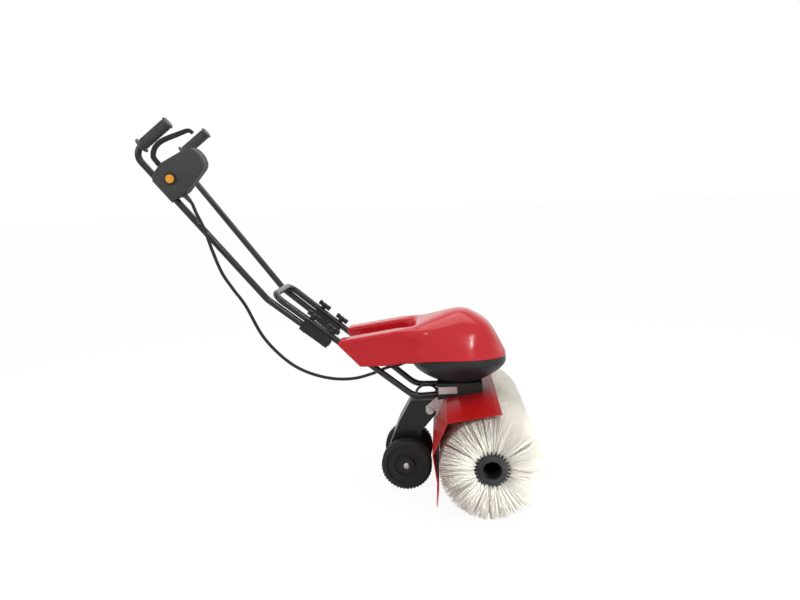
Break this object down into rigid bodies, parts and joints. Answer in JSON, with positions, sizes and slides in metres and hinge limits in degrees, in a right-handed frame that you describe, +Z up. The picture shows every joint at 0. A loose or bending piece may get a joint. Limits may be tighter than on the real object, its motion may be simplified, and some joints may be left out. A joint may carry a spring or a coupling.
{
  "type": "power brush sweeper",
  "caption": "Hand-guided power sweeper: motor under a glossy cover drives a roller brush by worm gear, with sheet hood, trailing wheels and clamped handles.",
  "frame": {"origin": "on the floor, midway along the overall length, in the middle plane", "axes": "+X forwards to the brush, +Y to the machine's left, +Z up"},
  "size_m": [1.0425, 0.6, 1.0627],
  "materials": {
    "handle_paint": "gloss black paint",
    "grip_rubber": "matt black",
    "black_plastic": "satin black",
    "zinc_steel": "zinc plated",
    "box_plastic": "matt grey-black",
    "button_plastic": "gloss orange",
    "cord_rubber": "matt black",
    "red_gloss": "gloss red",
    "bowl_plastic": "satin black",
    "base_aluminium": "painted black casting",
    "bare_steel": "bare",
    "winding_steel": "lacquered stack",
    "case_aluminium": "cast",
    "wheel_bronze": "machined",
    "bristle_nylon": "cream, matt",
    "hood_paint": "gloss red paint",
    "arm_paint": "satin black paint",
    "wheel_rubber": "matt black"
  },
  "bodies": {
    "chassis": {"lower_handle": "handle_paint", "right_clamp": "black_plastic", "left_clamp": "black_plastic", "clamp_bolts": "zinc_steel", "bowl_gland": "grip_rubber", "power_cord": "cord_rubber", "motor_cover": "red_gloss", "cover_screws": "zinc_steel", "motor_bowl": "bowl_plastic", "motor_base": "base_aluminium", "bare_plate": "bare_steel", "stator": "winding_steel", "upper_bearing": "bare_steel", "lower_bearing": "bare_steel", "bearing_bridge": "base_aluminium", "right_gear_case": "case_aluminium", "left_gear_case": "case_aluminium", "case_screws": "zinc_steel", "shaft_bearings": "bare_steel", "shaft_seals": "grip_rubber", "brush_hood": "hood_paint", "hood_bolts": "zinc_steel", "pivot_tabs": "zinc_steel", "pivot_bolt": "zinc_steel"},
    "right_handle": {"right_upper_handle": "handle_paint", "right_grip": "grip_rubber", "switch_box_outer": "box_plastic", "switch_box_inner": "box_plastic", "switch_box_screws": "zinc_steel", "lever_pin": "zinc_steel", "button_bezel": "black_plastic", "switch_block": "black_plastic", "box_gland": "grip_rubber"},
    "left_handle": {"left_upper_handle": "handle_paint", "left_grip": "grip_rubber"},
    "lever": {"dead_man_lever": "black_plastic"},
    "button": {"run_button": "button_plastic"},
    "knob_right_rear": {"right_rear_knob": "black_plastic"},
    "knob_right_front": {"right_front_knob": "black_plastic"},
    "knob_left_rear": {"left_rear_knob": "black_plastic"},
    "knob_left_front": {"left_front_knob": "black_plastic"},
    "brush": {"output_shaft": "bare_steel", "worm_wheel": "wheel_bronze", "right_brush_core": "black_plastic", "left_brush_core": "black_plastic", "right_bristles": "bristle_nylon", "left_bristles": "bristle_nylon", "core_pins": "zinc_steel"},
    "motor_rotor": {"rotor": "bare_steel", "fan": "black_plastic", "worm": "bare_steel"},
    "arm": {"wheel_arm": "arm_paint", "adjuster_bow": "arm_paint", "wheel_axle": "bare_steel", "axle_caps": "zinc_steel"},
    "wheel_right": {"right_wheel": "wheel_rubber"},
    "wheel_left": {"left_wheel": "wheel_rubber"}
  },
  "joints": [
    {"name": "right_handle_slide", "type": "slide", "parent": "chassis", "child": "right_handle", "axis": [-0.7695, -0.0759, 0.6341], "range_m": [-0.02, 0], "deforming": ["power_cord"]},
    {"name": "left_handle_slide", "type": "slide", "parent": "chassis", "child": "left_handle", "axis": [-0.7695, 0.0759, 0.6341], "range_m": [-0.02, 0]},
    {"name": "lever_squeeze", "type": "hinge", "parent": "right_handle", "child": "lever", "pos_m": [-0.44269, -0.15687, 0.92684], "axis": [0.057, -0.9957, -0.0733], "range_deg": [0, 8], "stiffness_Nm_per_rad": 2, "springref_deg": -20.05},
    {"name": "button_press", "type": "slide", "parent": "right_handle", "child": "button", "axis": [-0.057, 0.9957, 0.0733], "range_m": [0, 0.004], "stiffness_N_per_m": 800, "springref_m": -0.003},
    {"name": "right_rear_knob_turn", "type": "hinge", "parent": "chassis", "child": "knob_right_rear", "pos_m": [-0.09517, -0.09364, 0.49886], "axis": [0.631, 0.0623, 0.7733], "range_deg": [0, 360]},
    {"name": "right_front_knob_turn", "type": "hinge", "parent": "chassis", "child": "knob_right_front", "pos_m": [-0.04438, -0.08863, 0.45701], "axis": [0.631, 0.0623, 0.7733], "range_deg": [0, 360]},
    {"name": "left_rear_knob_turn", "type": "hinge", "parent": "chassis", "child": "knob_left_rear", "pos_m": [-0.09517, 0.09364, 0.49886], "axis": [0.631, -0.0623, 0.7733], "range_deg": [0, 360]},
    {"name": "left_front_knob_turn", "type": "hinge", "parent": "chassis", "child": "knob_left_front", "pos_m": [-0.04438, 0.08863, 0.45701], "axis": [0.631, -0.0623, 0.7733], "range_deg": [0, 360]},
    {"name": "brush_spin", "type": "hinge", "parent": "chassis", "child": "brush", "pos_m": [0.385, 0, 0.136], "axis": [0, 1, 0], "continuous": true},
    {"name": "rotor_spin", "type": "hinge", "parent": "chassis", "child": "motor_rotor", "pos_m": [0.316, 0, 0.136], "axis": [0, 0, 1], "continuous": true},
    {"name": "wheel_arm_tilt", "type": "hinge", "parent": "chassis", "child": "arm", "pos_m": [0.227, 0, 0.218], "axis": [0, 1, 0], "range_deg": [0, 12]},
    {"name": "right_wheel_spin", "type": "hinge", "parent": "arm", "child": "wheel_right", "pos_m": [0.156, -0.074, 0.072], "axis": [0, 1, 0], "continuous": true},
    {"name": "left_wheel_spin", "type": "hinge", "parent": "arm", "child": "wheel_left", "pos_m": [0.156, 0.074, 0.072], "axis": [0, 1, 0], "continuous": true}
  ],
  "couplings": [
    {"joint": "rotor_spin", "follows": "brush_spin", "ratio": -34}
  ]
}
